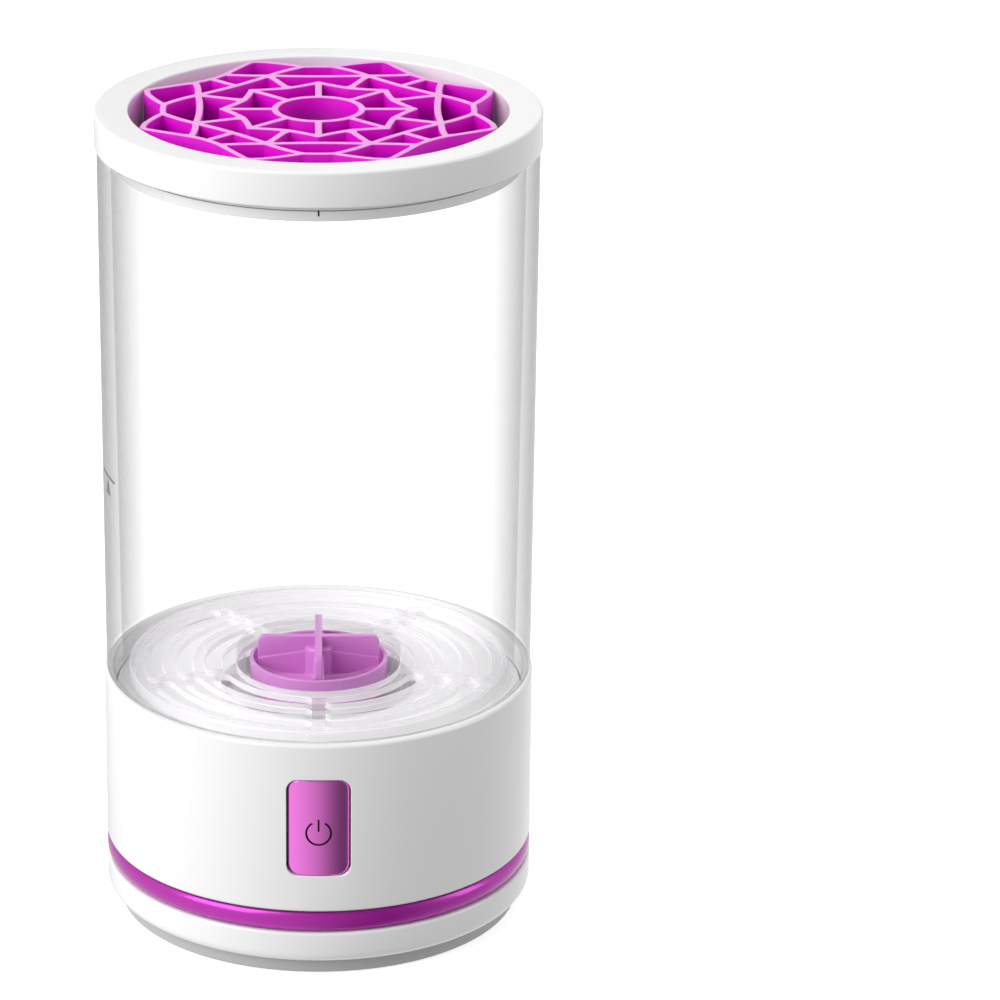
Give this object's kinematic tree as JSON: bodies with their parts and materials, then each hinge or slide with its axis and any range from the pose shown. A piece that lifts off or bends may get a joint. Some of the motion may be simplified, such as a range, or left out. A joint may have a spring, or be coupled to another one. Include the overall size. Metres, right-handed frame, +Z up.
{
  "type": "brush cleaner",
  "caption": "Upright round brush cleaner: white base with a button, clear tank with a magnet-driven impeller, and a white lid with a soft honeycomb insert.",
  "frame": {"origin": "centre of the underside, on the surface that the foot ring stands on", "axes": "+Z up along the vessel's axis, -Y towards the power button (front), +X to the right seen from the front"},
  "size_m": [0.095, 0.095, 0.1807],
  "materials": {
    "white_plastic": "glossy",
    "clear_plastic": "clear polished",
    "insert": "satin silicone",
    "impeller_plastic": "satin",
    "trim": "high gloss",
    "button": "high gloss",
    "foot_rubber": "matt",
    "seal": "matt silicone",
    "white_nylon": "matt",
    "black_plastic": "matt",
    "black_rubber": "matt",
    "board": "solder resist",
    "steel": "bright",
    "magnet": "plated",
    "bronze": "sintered",
    "cell_wrap": "shrink wrap",
    "lead_red": "matt",
    "lead_black": "matt",
    "lead_grey": "matt"
  },
  "bodies": {
    "base": {"battery_cell": "cell_wrap", "battery_cradle": "black_plastic", "battery_lead": "lead_red", "button_pad": "seal", "case_screw_1": "steel", "case_screw_2": "steel", "case_screw_3": "steel", "case_screw_4": "steel", "charge_lead": "lead_grey", "charge_port": "steel", "control_board": "board", "deck": "white_plastic", "foot_ring": "foot_rubber", "lower_shell": "white_plastic", "motor_bracket": "white_nylon", "motor_bush": "bronze", "motor_can": "steel", "motor_end_cap": "white_nylon", "motor_lead": "lead_black", "motor_screw_1": "steel", "motor_screw_2": "steel", "motor_sleeve": "black_rubber", "port_board": "board", "port_tongue": "black_plastic", "switch_body": "black_plastic", "trim_ring": "trim", "upper_shell": "white_plastic", "well_cup": "white_plastic"},
    "tank": {"tank": "clear_plastic", "wash_plate": "clear_plastic", "spindle_pin": "steel"},
    "lid": {"lid_ring": "white_plastic", "lid_seal": "seal"},
    "insert": {"drying_insert": "insert"},
    "impeller": {"impeller": "impeller_plastic", "impeller_bush": "white_nylon", "impeller_cap": "impeller_plastic", "impeller_magnet_1": "magnet", "impeller_magnet_2": "magnet"},
    "drive": {"motor_shaft": "steel", "drive_rotor": "black_plastic", "drive_magnet_1": "magnet", "drive_magnet_2": "magnet"},
    "button": {"power_button": "button"},
    "plunger": {"switch_plunger": "white_nylon"}
  },
  "joints": [
    {"name": "tank_lift", "type": "slide", "parent": "base", "child": "tank", "axis": [0, 0, 1], "range_m": [0, 0.03]},
    {"name": "lid_lift", "type": "slide", "parent": "tank", "child": "lid", "axis": [0, 0, 1], "range_m": [0, 0.03]},
    {"name": "insert_lift", "type": "slide", "parent": "lid", "child": "insert", "axis": [0, 0, 1], "range_m": [0, 0.02]},
    {"name": "impeller_spin", "type": "hinge", "parent": "tank", "child": "impeller", "pos_m": [0, 0, 0.052], "axis": [0, 0, 1], "continuous": true},
    {"name": "motor_spin", "type": "hinge", "parent": "base", "child": "drive", "pos_m": [0, 0, 0.04], "axis": [0, 0, 1], "continuous": true},
    {"name": "button_press", "type": "slide", "parent": "base", "child": "button", "axis": [0, 1, 0], "range_m": [0, 0.0006]},
    {"name": "plunger_press", "type": "slide", "parent": "base", "child": "plunger", "axis": [0, 1, 0], "range_m": [0, 0.0006]}
  ],
  "couplings": [
    {"joint": "impeller_spin", "follows": "motor_spin", "ratio": 1},
    {"joint": "plunger_press", "follows": "button_press", "ratio": 1}
  ]
}
